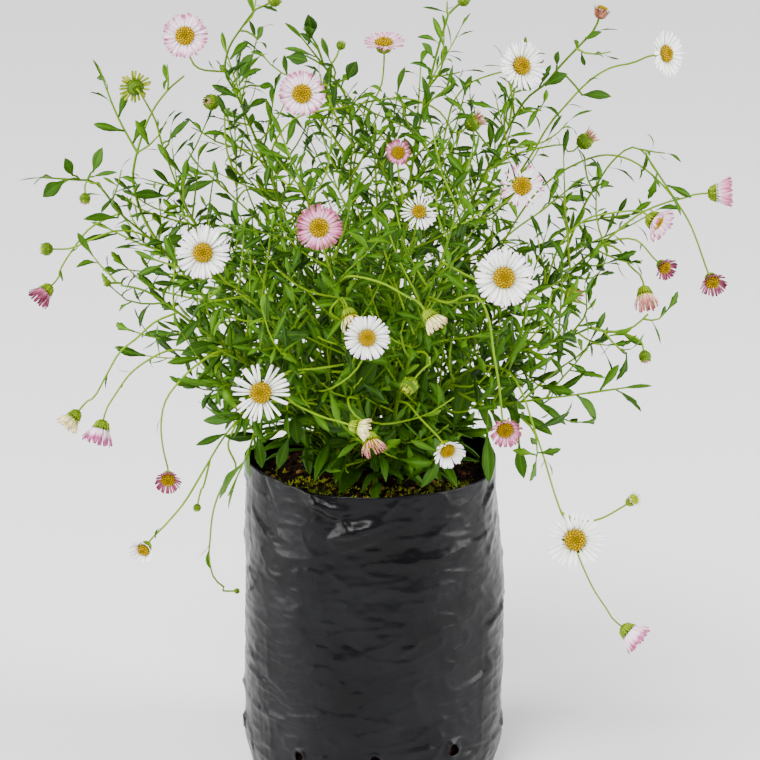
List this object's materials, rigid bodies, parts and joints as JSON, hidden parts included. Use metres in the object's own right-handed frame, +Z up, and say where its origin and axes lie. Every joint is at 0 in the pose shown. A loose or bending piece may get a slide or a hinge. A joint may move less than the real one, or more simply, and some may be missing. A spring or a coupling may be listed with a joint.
{
  "type": "potted vittadinia",
  "caption": "Young many-rayed daisy with pink, white and cream heads on thin leafy stems, growing in a black polythene planter bag of potting mix.",
  "frame": {"origin": "middle of the planter bag's flat base, on the surface that it stands on", "axes": "+Z up along the bag's axis, -Y towards the viewer of the picture, +X to the viewer's right"},
  "size_m": [0.2945, 0.2229, 0.3376],
  "materials": {
    "bag_film": "slightly glossy, creased thin black polythene film",
    "potting_mix": "rough dark brown bark and peat crumbs with bits of moss",
    "foliage": "satin green leaves, yellow-green stems and cups",
    "disc": "matt golden florets",
    "white_rays": "thin matt white rays, pink at the tips",
    "pale_rays": "thin matt pale pink rays",
    "pink_rays": "thin matt pink rays",
    "magenta_rays": "thin matt magenta rays",
    "cream_rays": "thin matt cream rays, fading",
    "salmon_rays": "thin matt salmon rays, fading",
    "brown_rays": "dry brown rays"
  },
  "bodies": {
    "root": {"bag": "bag_film", "bloom_brown_top_right": "brown_rays", "bloom_cream_centre": "cream_rays", "bloom_cream_far_left": "cream_rays", "bloom_cream_front": "cream_rays", "bloom_cream_low": "salmon_rays", "bloom_cream_right": "cream_rays", "bloom_faded_right": "pale_rays", "bloom_magenta_far_left": "magenta_rays", "bloom_magenta_far_right": "magenta_rays", "bloom_magenta_low_left": "magenta_rays", "bloom_magenta_right": "magenta_rays", "bloom_pale_hanging_right": "pale_rays", "bloom_pale_right": "pale_rays", "bloom_pale_top_left": "pale_rays", "bloom_pink_centre": "pink_rays", "bloom_pink_far_right": "pink_rays", "bloom_pink_low_right": "pink_rays", "bloom_pink_lower_left": "pale_rays", "bloom_pink_top": "pink_rays", "bloom_pink_upper_left": "pale_rays", "bloom_salmon_centre": "pink_rays", "bloom_salmon_right": "salmon_rays", "bloom_white_centre": "white_rays", "bloom_white_far_right": "white_rays", "bloom_white_front_left": "white_rays", "bloom_white_hanging": "white_rays", "bloom_white_left": "white_rays", "bloom_white_low_front": "white_rays", "bloom_white_low_left": "white_rays", "bloom_white_right": "white_rays", "bloom_white_small_right": "white_rays", "bloom_white_sparse": "white_rays", "bloom_white_upper_right": "white_rays", "disc_faded_right": "disc", "disc_pale_top_left": "disc", "disc_pink_centre": "disc", "disc_pink_top": "disc", "disc_pink_upper_left": "disc", "disc_white_centre": "disc", "disc_white_far_right": "disc", "disc_white_front_left": "disc", "disc_white_hanging": "disc", "disc_white_left": "disc", "disc_white_right": "disc", "disc_white_sparse": "disc", "disc_white_upper_right": "disc", "soil": "potting_mix", "stem_back": "foliage", "stem_front": "foliage", "stem_front_left": "foliage", "stem_front_right": "foliage", "stem_left_far": "foliage", "stem_left_low": "foliage", "stem_left_top": "foliage", "stem_right": "foliage", "stem_right_low": "foliage", "stem_right_top": "foliage", "stem_top": "foliage", "stem_top_right": "foliage"}
  },
  "joints": []
}
